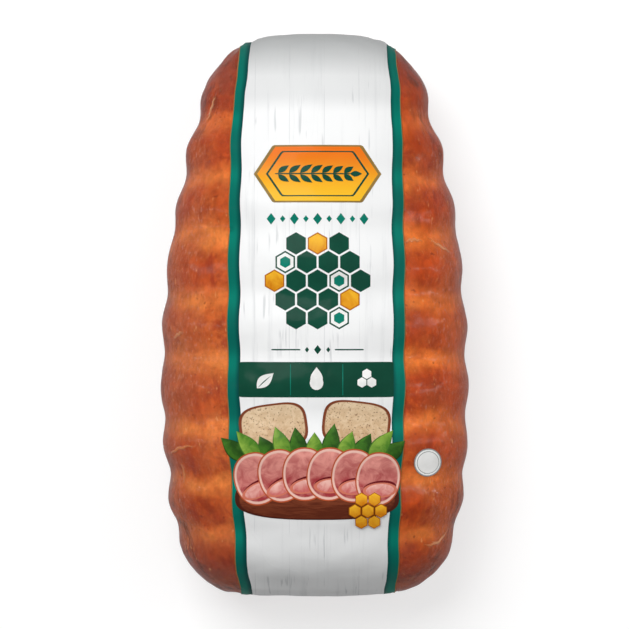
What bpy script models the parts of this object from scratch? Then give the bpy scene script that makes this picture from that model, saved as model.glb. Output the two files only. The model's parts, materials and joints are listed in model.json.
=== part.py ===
# A whole boneless ham, packed tight in clear shrink film with a printed band along
# its top. It lies on its back with the band up.
#
# Metres, +Z up. +Y points to the narrow end (the head), +X runs across. The origin is
# on the table, under the middle of the pack.

import math

import bmesh
import bpy
from mathutils import Vector, noise

# Driving sizes of the ham
LENGTH = 0.340
WIDTH = 0.186
HEIGHT = 0.125
WIDEST_TO_HEAD = 0.213
MIDDLE_HEIGHT = 0.056
DEPTH_BELOW_MIDDLE = 0.061
TIP_DROOP = 0.010
TOP_ROUNDNESS = 2.35
UNDERSIDE_ROUNDNESS = 2.9

# How each end closes, seen from above and from the side: (power along, power across)
HEAD_PLAN = (1.6, 4.4)
HEAD_SIDE = (2.4, 3.0)
FOOT_PLAN = (2.5, 6.0)
FOOT_SIDE = (3.0, 3.4)

# Ribs that the netting pressed in, counted from the head
RIB_COUNT = 9
FIRST_VALLEY = 0.0535
RIB_PITCH = 0.035
NET_DRIFT = 0.0027
RIB_SWELL = 0.0015
VALLEY_SHARPNESS = 0.15
UNDERSIDE_RIB_SHARE = 0.5

# Unevenness of the meat
LUMP_SIZE = 0.055
LUMP_SHARE = 0.05

# The printed band and the film's sealed tails at the two ends
BAND_HALF_WIDTH = 0.051
BAND_END_NARROWING = 0.12
NARROWING_POWER = 3
BAND_THICKNESS = 0.0005
SKIN_GAP = 0.0004
TAIL_HALF_WIDTH = 0.03825
TAIL_THICKNESS = 0.0009
TAIL_GAP_BELOW_BAND = 0.002

# The block that the ham's surface grid starts as, and the core its rays leave from
BLOCK_HALF = Vector((0.091, 0.182, 0.062))
CORE_HALF_WIDTH = 0.056
CORE_HALF_HEIGHT = 0.012
CORE_HEAD = 0.140
CORE_FOOT = -0.150
STEPS_PER_RIB = 5
STEPS_AT_HEAD = 3
BAND_COLUMNS = 8
SIDE_COLUMNS = 3
BAND_END_ROW = -0.022
BAND_END_ROWS = 8
TAIL_END_ROW = -0.050
TAIL_ROWS = 3
RAY_REACH = 0.16
HALVINGS = 34
TABLE_SNAP = 1e-6
SHARP_ANGLE = math.radians(50)

TIP_HEAD = LENGTH / 2
WIDEST_AT = TIP_HEAD - WIDEST_TO_HEAD


def clear_scene():
    for obj in list(bpy.data.objects):
        bpy.data.objects.remove(obj, do_unlink=True)


def make_material(name, colour, roughness, alpha=1.0):
    material = bpy.data.materials.new(name)
    material.use_nodes = True
    shader = material.node_tree.nodes["Principled BSDF"]
    shader.inputs["Base Color"].default_value = (*colour, 1.0)
    shader.inputs["Roughness"].default_value = roughness
    shader.inputs["Metallic"].default_value = 0.0
    shader.inputs["Alpha"].default_value = alpha
    material.diffuse_color = (*colour, alpha)
    return material


def closing(y, head_powers, foot_powers):
    """Share of the full width or height that is left at a station along the ham."""
    if y >= WIDEST_AT:
        reach, powers = (y - WIDEST_AT) / WIDEST_TO_HEAD, head_powers
    else:
        reach, powers = (WIDEST_AT - y) / (LENGTH - WIDEST_TO_HEAD), foot_powers
    if reach >= 1.0:
        return 0.0
    along, across = powers
    return (1.0 - reach**along) ** (1.0 / across)


def rib_valley(number):
    """Station of a pinch between two ribs. The netting drifts a little along the ham."""
    drift = NET_DRIFT * math.sin(2 * math.pi * number / (RIB_COUNT - 2))
    return TIP_HEAD - (FIRST_VALLEY + RIB_PITCH * number - drift)


VALLEYS = [rib_valley(number) for number in range(-1, RIB_COUNT)]


def swell(y):
    """How far the meat swells between two pinches, from about -1 to 1."""
    for near_head, near_foot in zip(VALLEYS, VALLEYS[1:]):
        if near_foot <= y <= near_head:
            turn = 2 * math.pi * (near_head - y) / (near_head - near_foot)
            return -math.cos(turn) - VALLEY_SHARPNESS * math.cos(2 * turn)
    return -1.0 - VALLEY_SHARPNESS


def in_ham(point):
    """True inside the ham: a rounded, ribbed form that the table flattens below."""
    x, y, z = point
    wide = closing(y, HEAD_PLAN, FOOT_PLAN)
    tall = closing(y, HEAD_SIDE, FOOT_SIDE)
    if z <= 0.0 or wide <= 0.0 or tall <= 0.0:
        return False
    rib = RIB_SWELL * swell(y)
    middle = MIDDLE_HEIGHT - TIP_DROOP * (1.0 - tall)
    above = z >= middle
    full_height = HEIGHT - MIDDLE_HEIGHT if above else DEPTH_BELOW_MIDDLE
    roundness = TOP_ROUNDNESS if above else UNDERSIDE_ROUNDNESS
    rib_share = 1.0 if above else UNDERSIDE_RIB_SHARE
    half_width = WIDTH / 2 * wide + rib * wide
    half_height = full_height * tall + rib * rib_share * tall
    level = abs(x / half_width) ** roundness + abs((z - middle) / half_height) ** roundness
    return level < 1.0 + LUMP_SHARE * noise.noise(Vector(point) / LUMP_SIZE)


def between(value, low, high):
    return max(low, min(high, value))


def onto_ham(block_point):
    """Moves a point of the block along its own ray from the core to the ham's surface."""
    end_share = between(abs(block_point.y) / CORE_HEAD, 0.0, 1.0) ** NARROWING_POWER
    squeeze = 1.0 - BAND_END_NARROWING * end_share
    target = Vector((block_point.x * squeeze, block_point.y, MIDDLE_HEIGHT + block_point.z))
    half_core = CORE_HALF_WIDTH * squeeze
    start = Vector((
        between(target.x, -half_core, half_core),
        between(target.y, CORE_FOOT, CORE_HEAD),
        between(target.z, MIDDLE_HEIGHT - CORE_HALF_HEIGHT, MIDDLE_HEIGHT + CORE_HALF_HEIGHT),
    ))
    ray = (target - start).normalized()
    near, far = 0.0, RAY_REACH
    for _ in range(HALVINGS):
        middle = (near + far) / 2
        if in_ham(start + ray * middle):
            near = middle
        else:
            far = middle
    found = start + ray * near
    if found.z < TABLE_SNAP:
        found.z = 0.0
    return found


def even_steps(start, end, count):
    return [start + (end - start) * step / count for step in range(1, count)]


def grid_lines():
    """Where the block is cut along X, Y and Z. Cuts along Y follow the ribs."""
    column = 2 * BAND_HALF_WIDTH / BAND_COLUMNS
    across = [column * step - BAND_HALF_WIDTH for step in range(BAND_COLUMNS + 1)]
    outer = even_steps(BAND_HALF_WIDTH, BLOCK_HALF.x, SIDE_COLUMNS)
    across += outer + [-x for x in outer]
    along = []
    for near_head, near_foot in zip(VALLEYS, VALLEYS[1:]):
        along += [near_head] + even_steps(near_head, near_foot, STEPS_PER_RIB)
    along.append(VALLEYS[-1])
    along += even_steps(VALLEYS[0], BLOCK_HALF.y, STEPS_AT_HEAD)
    upright = even_steps(BAND_END_ROW, BLOCK_HALF.z, BAND_END_ROWS) + [BAND_END_ROW]
    tail_top = BAND_END_ROW - TAIL_GAP_BELOW_BAND
    upright += [tail_top, TAIL_END_ROW] + even_steps(tail_top, TAIL_END_ROW, TAIL_ROWS)
    return across, along, upright


def cut_block(mesh):
    """Cuts the block into the grid of faces that takes the ham's form."""
    for axis, stations in enumerate(grid_lines()):
        normal = Vector((axis == 0, axis == 1, axis == 2))
        for station in stations:
            everything = mesh.verts[:] + mesh.edges[:] + mesh.faces[:]
            bmesh.ops.bisect_plane(mesh, geom=everything, plane_co=normal * station, plane_no=normal)


def piece_of(face):
    """Names the film piece that lies over a face of the block, if one does."""
    centre = face.calc_center_median()
    on_top = round(face.normal.z) == 1
    on_end = round(abs(face.normal.y)) == 1
    if abs(centre.x) < BAND_HALF_WIDTH and (on_top or on_end and centre.z > BAND_END_ROW):
        return "printed_band"
    below_band = TAIL_END_ROW < centre.z < BAND_END_ROW - TAIL_GAP_BELOW_BAND
    if on_end and below_band and abs(centre.x) < TAIL_HALF_WIDTH:
        return "head_tail" if centre.y > 0 else "foot_tail"
    return "bare"


def ham_surface():
    """The ham's closed surface, and for each film piece the faces that it covers."""
    mesh = bmesh.new()
    bmesh.ops.create_cube(mesh, size=2.0)
    bmesh.ops.scale(mesh, vec=BLOCK_HALF, verts=mesh.verts)
    cut_block(mesh)
    mesh.normal_update()
    mesh.faces.ensure_lookup_table()
    covered = [piece_of(face) for face in mesh.faces]
    for vert in mesh.verts:
        vert.co = onto_ham(vert.co)
    mesh.normal_update()
    return mesh, covered


def add_object(name, mesh, material, collection):
    data = bpy.data.meshes.new(name)
    mesh.to_mesh(data)
    data.materials.append(material)
    obj = bpy.data.objects.new(name, data)
    collection.objects.link(obj)
    data.shade_smooth()
    data.set_sharp_from_angle(angle=SHARP_ANGLE)
    return obj


def film_piece(name, surface, covered, thickness, material, collection):
    """A thin piece that follows the ham a hair above its skin."""
    mesh = surface.copy()
    mesh.normal_update()
    mesh.faces.ensure_lookup_table()
    lifted = [vert.co + vert.normal * SKIN_GAP for vert in mesh.verts]
    for vert, place in zip(mesh.verts, lifted):
        vert.co = place
    spare = [face for face, piece in zip(mesh.faces, covered) if piece != name]
    bmesh.ops.delete(mesh, geom=spare, context="FACES")
    obj = add_object(name, mesh, material, collection)
    mesh.free()
    wall = obj.modifiers.new("Thickness", "SOLIDIFY")
    wall.thickness = thickness
    wall.offset = 1.0
    wall.use_even_offset = True
    return obj


def centre_over_origin(objects):
    """Puts the middle of the whole pack over the origin, and its underside on the table."""
    graph = bpy.context.evaluated_depsgraph_get()
    corners = []
    for obj in objects:
        evaluated = obj.evaluated_get(graph)
        corners += [vert.co.copy() for vert in evaluated.data.vertices]
    low = [min(corner[axis] for corner in corners) for axis in range(3)]
    high = [max(corner[axis] for corner in corners) for axis in range(3)]
    shift = Vector((-(low[0] + high[0]) / 2, -(low[1] + high[1]) / 2, -low[2]))
    for obj in objects:
        for vert in obj.data.vertices:
            vert.co += shift


def main():
    clear_scene()
    pack = bpy.data.collections.new("packed_ham")
    bpy.context.scene.collection.children.link(pack)

    meat = make_material("smoked ham", (0.47, 0.13, 0.045), 0.35)
    print_white = make_material("printed film", (0.83, 0.84, 0.83), 0.3)
    clear_film = make_material("clear film", (0.80, 0.72, 0.68), 0.15, alpha=0.6)

    surface, covered = ham_surface()
    parts = [add_object("wrapped_ham", surface, meat, pack)]
    parts.append(film_piece("printed_band", surface, covered, BAND_THICKNESS, print_white, pack))
    for name in ("head_tail", "foot_tail"):
        parts.append(film_piece(name, surface, covered, TAIL_THICKNESS, clear_film, pack))
    surface.free()
    centre_over_origin(parts)


main()
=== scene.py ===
import json
import math

import bpy
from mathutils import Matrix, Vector, noise

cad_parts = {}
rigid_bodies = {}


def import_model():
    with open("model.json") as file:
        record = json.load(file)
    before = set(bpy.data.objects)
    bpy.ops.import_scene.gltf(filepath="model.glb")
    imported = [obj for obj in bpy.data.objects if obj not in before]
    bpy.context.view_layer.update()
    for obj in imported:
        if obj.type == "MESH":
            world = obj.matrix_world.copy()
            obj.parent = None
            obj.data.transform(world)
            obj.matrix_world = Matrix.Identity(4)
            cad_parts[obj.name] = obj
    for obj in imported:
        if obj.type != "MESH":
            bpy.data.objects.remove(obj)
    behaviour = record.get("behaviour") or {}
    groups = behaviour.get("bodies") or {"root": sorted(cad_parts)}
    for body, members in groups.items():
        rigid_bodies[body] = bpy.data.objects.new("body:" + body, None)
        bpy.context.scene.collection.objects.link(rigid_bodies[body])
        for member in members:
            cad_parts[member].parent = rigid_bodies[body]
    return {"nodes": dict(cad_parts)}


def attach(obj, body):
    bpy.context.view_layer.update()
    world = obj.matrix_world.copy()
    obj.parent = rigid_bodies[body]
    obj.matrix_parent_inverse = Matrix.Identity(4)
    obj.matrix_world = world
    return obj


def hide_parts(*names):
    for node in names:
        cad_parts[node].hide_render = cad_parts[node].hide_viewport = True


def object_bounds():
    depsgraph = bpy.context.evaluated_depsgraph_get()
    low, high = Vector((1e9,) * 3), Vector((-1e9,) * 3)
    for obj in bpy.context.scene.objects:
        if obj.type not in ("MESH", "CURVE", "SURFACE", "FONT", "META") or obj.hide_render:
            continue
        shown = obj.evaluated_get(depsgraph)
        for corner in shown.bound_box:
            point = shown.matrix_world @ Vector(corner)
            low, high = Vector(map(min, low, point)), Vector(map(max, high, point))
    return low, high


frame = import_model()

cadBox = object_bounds()
body = "root"
scene = bpy.context.scene


# Small helpers for the steps that repeat

def deselectAll():
    if bpy.context.mode != "OBJECT":
        bpy.ops.object.mode_set(mode="OBJECT")
    bpy.ops.object.select_all(action="DESELECT")


def activate(piece):
    deselectAll()
    piece.select_set(True)
    bpy.context.view_layer.objects.active = piece


def applyModifier(piece, kind, **settings):
    activate(piece)
    modifier = piece.modifiers.new(kind.title(), kind)
    for setting, value in settings.items():
        setattr(modifier, setting, value)
    bpy.ops.object.modifier_apply(modifier=modifier.name)


def applyPlace(piece):
    activate(piece)
    bpy.ops.object.transform_apply(location=True, rotation=True, scale=True)


def joinPieces(name, parts):
    activate(parts[0])
    for part in parts[1:]:
        part.select_set(True)
    if len(parts) > 1:
        bpy.ops.object.join()
    joined = bpy.context.view_layer.objects.active
    joined.name = name
    joined.data.name = name
    return joined


def smoothStep(value, low, high):
    share = max(0.0, min(1.0, (value - low) / (high - low)))
    return share * share * (3 - 2 * share)


# 1 between the two middle values, running out to 0 at the outer two
def plateau(value, start, full, fading, gone):
    return smoothStep(value, start, full) * smoothStep(value, gone, fading)


# Material helpers: each returns the socket that carries its result

def startMaterial(name, shine):
    material = bpy.data.materials.new(name)
    material.use_nodes = True
    shader = material.node_tree.nodes["Principled BSDF"]
    shader.inputs["Roughness"].default_value = shine["roughness"]
    shader.inputs["Specular IOR Level"].default_value = shine["specular"]
    shader.inputs["Coat Weight"].default_value = shine["coat"]
    shader.inputs["Coat Roughness"].default_value = shine["coatRoughness"]
    return material, material.node_tree, shader


def objectCoords(tree, scale=(1, 1, 1)):
    coords = tree.nodes.new("ShaderNodeTexCoord")
    mapping = tree.nodes.new("ShaderNodeMapping")
    mapping.inputs["Scale"].default_value = scale
    tree.links.new(coords.outputs["Object"], mapping.inputs["Vector"])
    return mapping.outputs["Vector"]


def addNoise(tree, vector, scale, detail=3.0, roughness=0.5, distortion=0.0):
    node = tree.nodes.new("ShaderNodeTexNoise")
    node.inputs["Scale"].default_value = scale
    node.inputs["Detail"].default_value = detail
    node.inputs["Roughness"].default_value = roughness
    node.inputs["Distortion"].default_value = distortion
    tree.links.new(vector, node.inputs["Vector"])
    return node.outputs["Fac"]


def addRange(tree, value, low, high, toLow=0.0, toHigh=1.0):
    node = tree.nodes.new("ShaderNodeMapRange")
    node.interpolation_type = "SMOOTHSTEP"
    node.inputs["From Min"].default_value = low
    node.inputs["From Max"].default_value = high
    node.inputs["To Min"].default_value = toLow
    node.inputs["To Max"].default_value = toHigh
    tree.links.new(value, node.inputs["Value"])
    return node.outputs["Result"]


def addMath(tree, operation, first, second=0.0):
    node = tree.nodes.new("ShaderNodeMath")
    node.operation = operation
    for socket, value in zip(node.inputs, (first, second)):
        if isinstance(value, (int, float)):
            socket.default_value = value
        else:
            tree.links.new(value, socket)
    return node.outputs["Value"]


def multiply(tree, first, second):
    return addMath(tree, "MULTIPLY", first, second)


def plus(tree, first, second):
    return addMath(tree, "ADD", first, second)


def addMix(tree, factor, first, second):
    node = tree.nodes.new("ShaderNodeMix")
    node.data_type = "RGBA"
    for socket, value in (("Factor", factor), ("A", first), ("B", second)):
        target = next(s for s in node.inputs if s.name == socket and s.enabled)
        if isinstance(value, tuple):
            target.default_value = (*value, 1.0)
        elif isinstance(value, (int, float)):
            target.default_value = value
        else:
            tree.links.new(value, target)
    return next(s for s in node.outputs if s.enabled)


# Tints a colour where a share says so
def addShade(tree, factor, colour, tint):
    node = tree.nodes.new("ShaderNodeMix")
    node.data_type = "RGBA"
    node.blend_type = "MULTIPLY"
    factorSocket, first, second = (s for s in node.inputs if s.enabled)
    tree.links.new(factor, factorSocket)
    tree.links.new(colour, first)
    second.default_value = (*tint, 1.0)
    return next(s for s in node.outputs if s.enabled)


# Darkens or lightens a colour by a share
def addTint(tree, colour, share):
    node = tree.nodes.new("ShaderNodeVectorMath")
    node.operation = "SCALE"
    tree.links.new(colour, node.inputs[0])
    tree.links.new(share, node.inputs["Scale"])
    return node.outputs["Vector"]


def addBump(tree, height, strength, distance):
    node = tree.nodes.new("ShaderNodeBump")
    node.inputs["Strength"].default_value = strength
    node.inputs["Distance"].default_value = distance
    tree.links.new(height, node.inputs["Height"])
    return node.outputs["Normal"]


def readAttribute(tree, name):
    node = tree.nodes.new("ShaderNodeAttribute")
    node.attribute_name = name
    return node.outputs["Fac"]


def splitAxes(tree):
    coords = tree.nodes.new("ShaderNodeTexCoord")
    split = tree.nodes.new("ShaderNodeSeparateXYZ")
    tree.links.new(coords.outputs["Object"], split.inputs["Vector"])
    return split.outputs["X"], split.outputs["Y"], split.outputs["Z"]


# Film: the same fine creases run through everything that lies in it

film = {
    "printShine": {"roughness": 0.55, "specular": 0.03, "coat": 0.06, "coatRoughness": 0.14},
    "clearShine": {"roughness": 0.12, "specular": 0.25, "coat": 0.0, "coatRoughness": 0.10},
    "clearColours": ((0.50, 0.13, 0.055), (0.60, 0.22, 0.12)),
    "clearAlpha": 0.06,
    "foldColours": ((0.90, 0.33, 0.12), (0.94, 0.47, 0.24)),
    "foldAlpha": 0.46,
    "gap": 0.0003,            # above the skin of the meat
    "bandGap": 0.0002,
    "bandThickness": 0.0003,
    "edgeLine": 0.0005,       # pale line along both sides of the band
    "thickness": 0.00012,
    "creaseScale": 34,
    "creaseHeight": 0.00035,
    "printCreases": 0.22,     # how much of them shows in the print
}


def creaseNormal(tree, strength):
    stretched = objectCoords(tree, (1.0, 0.55, 1.0))
    folds = addNoise(tree, stretched, film["creaseScale"], 2.0, 0.5, 0.6)
    centred = addMath(tree, "ABSOLUTE", addMath(tree, "SUBTRACT", folds, 0.5))
    ridge = addRange(tree, centred, 0.0, 0.035, 1.0, 0.0)
    ripple = addNoise(tree, objectCoords(tree), 170, 3.0)
    height = plus(tree, multiply(tree, ridge, 0.35), ripple)
    return addBump(tree, height, strength, film["creaseHeight"])


def makeFilm(name, colours, alpha, shine=film["clearShine"], fadeBy=None):
    material, tree, shader = startMaterial(name, shine)
    haze = addNoise(tree, objectCoords(tree), 45, 4.0)
    colour = addMix(tree, addRange(tree, haze, 0.35, 0.65), *colours)
    tree.links.new(colour, shader.inputs["Base Color"])
    tree.links.new(creaseNormal(tree, 0.9), shader.inputs["Normal"])
    shader.inputs["Alpha"].default_value = alpha
    if fadeBy:
        fade = addRange(tree, readAttribute(tree, fadeBy), 0.05, 1.0, 0.0, alpha)
        tree.links.new(fade, shader.inputs["Alpha"])
    return material


# Smoked meat: orange brown, lighter between the ribs (paler where the net pinched it, plus painted light),
# with painted shade down the sides

meat = {
    "shine": {"roughness": 0.50, "specular": 0.03, "coat": 0.19, "coatRoughness": 0.09},
    "dark": (0.38, 0.042, 0.009),
    "middle": (0.54, 0.078, 0.013),
    "bright": (0.82, 0.235, 0.050),
    "blush": (0.31, 0.028, 0.009),
    # painted shade: down the sides, under the ham and at both ends
    "paintedSideShade": (0.42, 0.098, 0.042),
    "underside": (0.20, 0.040, 0.026),
    "paintedEndShade": (0.27, 0.044, 0.027),
    "rightTint": (1.04, 0.92, 0.74),
    "farRightTint": (1.15, 1.09, 1.00),
    "headTint": (0.90, 0.72, 0.62),
    # painted sheen of the film down the sides
    "paintedSheen": (0.66, 0.29, 0.21),
    "spot": (0.16, 0.018, 0.008),
    "shadow": (0.055, 0.012, 0.008),
    "fleck": (0.86, 0.38, 0.14),
    "grainHeight": 0.0007,
}


# Between two ribs the meat is paler where the net pinched it, with painted light laid over that; each rib
# blushes on its crest
def colourRibs(tree, mottle, patches, plain, lengthwise, crosswise):
    along = splitAxes(tree)[1]
    valley = readAttribute(tree, "ribValley")
    colour = addMix(tree, addRange(tree, mottle, 0.36, 0.62), meat["dark"], meat["middle"])
    # Painted light: the stretch between two ribs is lightened, less so towards the narrow end
    glow = multiply(tree, valley, addRange(tree, along, 0.090, 0.115, 0.85, 0.62))
    lightness = plus(tree, glow, addRange(tree, patches, 0.42, 0.72, 0.0, 0.55))
    fineLight = addNoise(tree, crosswise, 150, 5.0, 0.6)
    lightness = multiply(tree, lightness, addRange(tree, fineLight, 0.25, 0.62, 0.55, 1.15))
    drifts = addNoise(tree, plain, 68, 3.0, 0.5, 0.6)
    lightness = multiply(tree, lightness, addRange(tree, drifts, 0.36, 0.62, 0.72, 1.20))
    colour = addMix(tree, lightness, colour, meat["bright"])

    blushes = addNoise(tree, plain, 52, 5.0, 0.65, 0.3)
    strokes = addNoise(tree, lengthwise, 125, 3.0, 0.5, 0.2)
    blush = addMath(tree, "MAXIMUM", addRange(tree, blushes, 0.47, 0.63, 0.0, 0.75),
                    addRange(tree, strokes, 0.58, 0.70, 0.0, 0.85))
    crest = addRange(tree, valley, 0.0, 0.55, 1.0, 0.0)
    return addMix(tree, multiply(tree, blush, crest), colour, meat["blush"])


# Painted shade: the sides, the ends and the underside grow darker, in drifts and not in lines
def addPaintedShade(tree, colour, outward, wander, lengthwise):
    across, along, up = splitAxes(tree)
    colour = addMix(tree, addRange(tree, outward, 0.060, 0.084, 0.0, 0.60), colour, meat["paintedSideShade"])
    lowness = addRange(tree, plus(tree, up, wander), 0.090, 0.050, 0.0, 0.66)
    colour = addMix(tree, lowness, colour, meat["underside"])
    endward = plus(tree, addMath(tree, "ABSOLUTE", along), wander)
    colour = addMix(tree, addRange(tree, endward, 0.118, 0.158, 0.0, 0.82), colour, meat["paintedEndShade"])

    # The right side is a little redder, and the narrow end darker
    colour = addShade(tree, addRange(tree, across, 0.020, 0.055), colour, meat["rightTint"])
    colour = addShade(tree, addRange(tree, across, 0.062, 0.080), colour, meat["farRightTint"])
    colour = addShade(tree, addRange(tree, along, 0.050, 0.100), colour, meat["headTint"])

    # Near both ends painted shadow lies in broken patches where the sides turn under
    shadowPatches = addNoise(tree, lengthwise, 150, 4.0, 0.6, 0.4)
    turning = multiply(tree, addRange(tree, up, 0.048, 0.066), addRange(tree, up, 0.098, 0.076))
    nearEnds = multiply(tree, addRange(tree, endward, 0.070, 0.125), addRange(tree, shadowPatches, 0.52, 0.62))
    return addMix(tree, multiply(tree, turning, multiply(tree, nearEnds, 0.60)), colour, meat["shadow"])


# Grain, a painted sheen down the sides, pores and flecks lie over all of it
def addGrain(tree, colour, outward, spots, plain, lengthwise, crosswise):
    up = splitAxes(tree)[2]
    grains = addNoise(tree, objectCoords(tree, (1.0, 0.7, 1.0)), 260, 4.0, 0.65)
    coarse = addNoise(tree, crosswise, 90, 4.0, 0.6, 0.5)
    shade = multiply(tree, addRange(tree, grains, 0.34, 0.66, 1.14, 0.89),
                     addRange(tree, coarse, 0.36, 0.64, 1.09, 0.92))
    colour = addTint(tree, colour, shade)

    paintedSheen = addNoise(tree, objectCoords(tree, (1.0, 0.5, 1.0)), 620, 3.0, 0.6)
    paintedSheenShare = multiply(tree, addRange(tree, paintedSheen, 0.54, 0.70, 0.0, 0.42),
                          addRange(tree, outward, 0.058, 0.080))
    paintedSheenShare = multiply(tree, paintedSheenShare, addRange(tree, up, 0.030, 0.068, 0.25, 1.0))
    colour = addMix(tree, paintedSheenShare, colour, meat["paintedSheen"])

    gate = addNoise(tree, plain, 48, 2.0)
    spotShare = multiply(tree, addRange(tree, spots, 0.74, 0.82), addRange(tree, gate, 0.44, 0.56))
    colour = addMix(tree, multiply(tree, spotShare, 0.60), colour, meat["spot"])
    flecks = addNoise(tree, lengthwise, 420, 2.0, 0.5)
    fleckShare = multiply(tree, addRange(tree, flecks, 0.66, 0.76, 0.0, 0.55),
                          addRange(tree, up, 0.045, 0.085, 0.35, 1.0))
    return addMix(tree, fleckShare, colour, meat["fleck"])


def makeMeat():
    material, tree, shader = startMaterial("hamInFilm", meat["shine"])
    plain = objectCoords(tree)
    lengthwise = objectCoords(tree, (1.0, 0.4, 1.0))
    crosswise = objectCoords(tree, (0.5, 1.0, 0.5))
    mottle = addNoise(tree, lengthwise, 95, 6.0, 0.62, 0.4)
    patches = addNoise(tree, plain, 26, 3.0, 0.55)
    spots = addNoise(tree, plain, 380, 0.0)
    drift = plus(tree, patches, multiply(tree, mottle, 0.35))
    wander = multiply(tree, addMath(tree, "SUBTRACT", drift, 0.68), 0.075)
    outward = plus(tree, addMath(tree, "ABSOLUTE", splitAxes(tree)[0]), wander)

    colour = colourRibs(tree, mottle, patches, plain, lengthwise, crosswise)
    colour = addPaintedShade(tree, colour, outward, wander, lengthwise)
    colour = addGrain(tree, colour, outward, spots, plain, lengthwise, crosswise)
    tree.links.new(colour, shader.inputs["Base Color"])
    tree.links.new(addRange(tree, patches, 0.3, 0.7, 0.38, 0.56), shader.inputs["Roughness"])
    grain = plus(tree, mottle, multiply(tree, spots, 0.35))
    tree.links.new(addBump(tree, grain, 0.55, meat["grainHeight"]), shader.inputs["Normal"])
    tree.links.new(creaseNormal(tree, 0.55), shader.inputs["Coat Normal"])
    return material


# Print: a whitewashed board pattern, two green edge stripes, and flat inks

ink = {
    "boardWhite": (0.86, 0.865, 0.865),
    "boardGrey": (0.60, 0.61, 0.62),
    "stripeGreens": ((0.002, 0.155, 0.115), (0.002, 0.115, 0.090)),
    "stripeInner": (0.002, 0.060, 0.055),
    "stripePaintedLight": (0.002, 0.225, 0.160),      # between two ribs
    "darkGreen": (0.006, 0.070, 0.042),
    "teal": (0.004, 0.200, 0.140),
    "amber": (0.88, 0.50, 0.025),
    "deepAmber": (0.80, 0.16, 0.010),
    "gold": (0.30, 0.19, 0.05),
    "paper": (0.88, 0.88, 0.86),
    "markWhite": (0.98, 0.98, 0.97),
    "greyLine": (0.33, 0.34, 0.33),
    "edgeLine": (0.38, 0.16, 0.04),
    # painted shade at both ends of the band
    "bandEndShade": (0.42, 0.43, 0.43),
    "plankWidth": 0.0205,
    "plankStart": 0.217,      # share of a plank by which the seams are moved
}


def finishInk(material, colour):
    tree = material.node_tree
    shader = tree.nodes["Principled BSDF"]
    tree.links.new(colour, shader.inputs["Base Color"])
    tree.links.new(creaseNormal(tree, film["printCreases"]), shader.inputs["Normal"])
    return material


def makeBoardPrint():
    material, tree = startMaterial("boardPrint", film["printShine"])[:2]
    across, along = splitAxes(tree)[:2]
    streaks = addNoise(tree, objectCoords(tree, (1.0, 0.045, 0.045)), 210, 5.0, 0.62)
    wash = addNoise(tree, objectCoords(tree, (1.0, 0.12, 0.12)), 55, 3.0)
    strokes = addNoise(tree, objectCoords(tree, (1.0, 0.07, 0.07)), 420, 2.0)
    gate = addNoise(tree, objectCoords(tree), 38, 2.0)
    grey = multiply(tree, addRange(tree, streaks, 0.53, 0.76), 0.42)
    grey = plus(tree, grey, addRange(tree, wash, 0.48, 0.75, 0.0, 0.06))
    short = multiply(tree, addRange(tree, strokes, 0.61, 0.70), addRange(tree, gate, 0.48, 0.60, 0.0, 0.75))
    grey = plus(tree, grey, short)
    planks = plus(tree, addMath(tree, "DIVIDE", across, ink["plankWidth"]), ink["plankStart"])
    inPlank = addMath(tree, "SUBTRACT", addMath(tree, "FRACT", planks), 0.5)
    seam = addRange(tree, addMath(tree, "ABSOLUTE", inPlank), 0.0, 0.020, 0.6, 0.0)
    grey = plus(tree, grey, multiply(tree, seam, addRange(tree, gate, 0.35, 0.60)))
    colour = addMix(tree, grey, ink["boardWhite"], ink["boardGrey"])
    # Painted shade: the band greys towards both ends where it turns away from the light; at the wide end's
    # very tip the grey eases again
    headGrey = addMath(tree, "MAXIMUM", addRange(tree, along, 0.118, 0.131, 0.0, 0.32),
                       addRange(tree, along, 0.125, 0.168, 0.0, 0.95))
    footGrey = multiply(tree, addRange(tree, along, -0.115, -0.140, 0.0, 0.26),
                       addRange(tree, along, -0.166, -0.148, 0.1, 1.0))
    endShare = addMath(tree, "MAXIMUM", headGrey, footGrey)
    colour = addMix(tree, endShare, colour, ink["bandEndShade"])
    return finishInk(material, colour)


def makeStripeInk():
    material, tree = startMaterial("stripeGreen", film["printShine"])[:2]
    tone = addNoise(tree, objectCoords(tree, (1, 0.2, 0.2)), 40, 4.0, 0.6)
    colour = addMix(tree, addRange(tree, tone, 0.35, 0.65), *ink["stripeGreens"])
    # Painted light: the stripes are lighter between two ribs, where the slope faces the lamp
    glow = multiply(tree, readAttribute(tree, "ribValley"), 0.6)
    colour = addMix(tree, glow, colour, ink["stripePaintedLight"])
    inner = addRange(tree, readAttribute(tree, "acrossShare"), 0.925, 0.870)
    colour = addMix(tree, inner, colour, ink["stripeInner"])
    return finishInk(material, colour)


def makeInk(name, first, second=None, scale=60, stretch=(1, 1, 1), low=0.35, high=0.65):
    material, tree = startMaterial(name, film["printShine"])[:2]
    second = second or tuple(channel * 0.82 for channel in first)
    tone = addNoise(tree, objectCoords(tree, stretch), scale, 4.0, 0.6)
    colour = addMix(tree, addRange(tree, tone, low, high), first, second)
    return finishInk(material, colour)


def makePlaqueInk(name, middle, halfHeight):
    material, tree = startMaterial(name, film["printShine"])[:2]
    rise = addRange(tree, splitAxes(tree)[1], middle - halfHeight, middle + halfHeight)
    colour = addMix(tree, rise, ink["amber"], ink["deepAmber"])
    return finishInk(material, colour)


# The skin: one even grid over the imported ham, from which meat, film and band are taken

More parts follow.
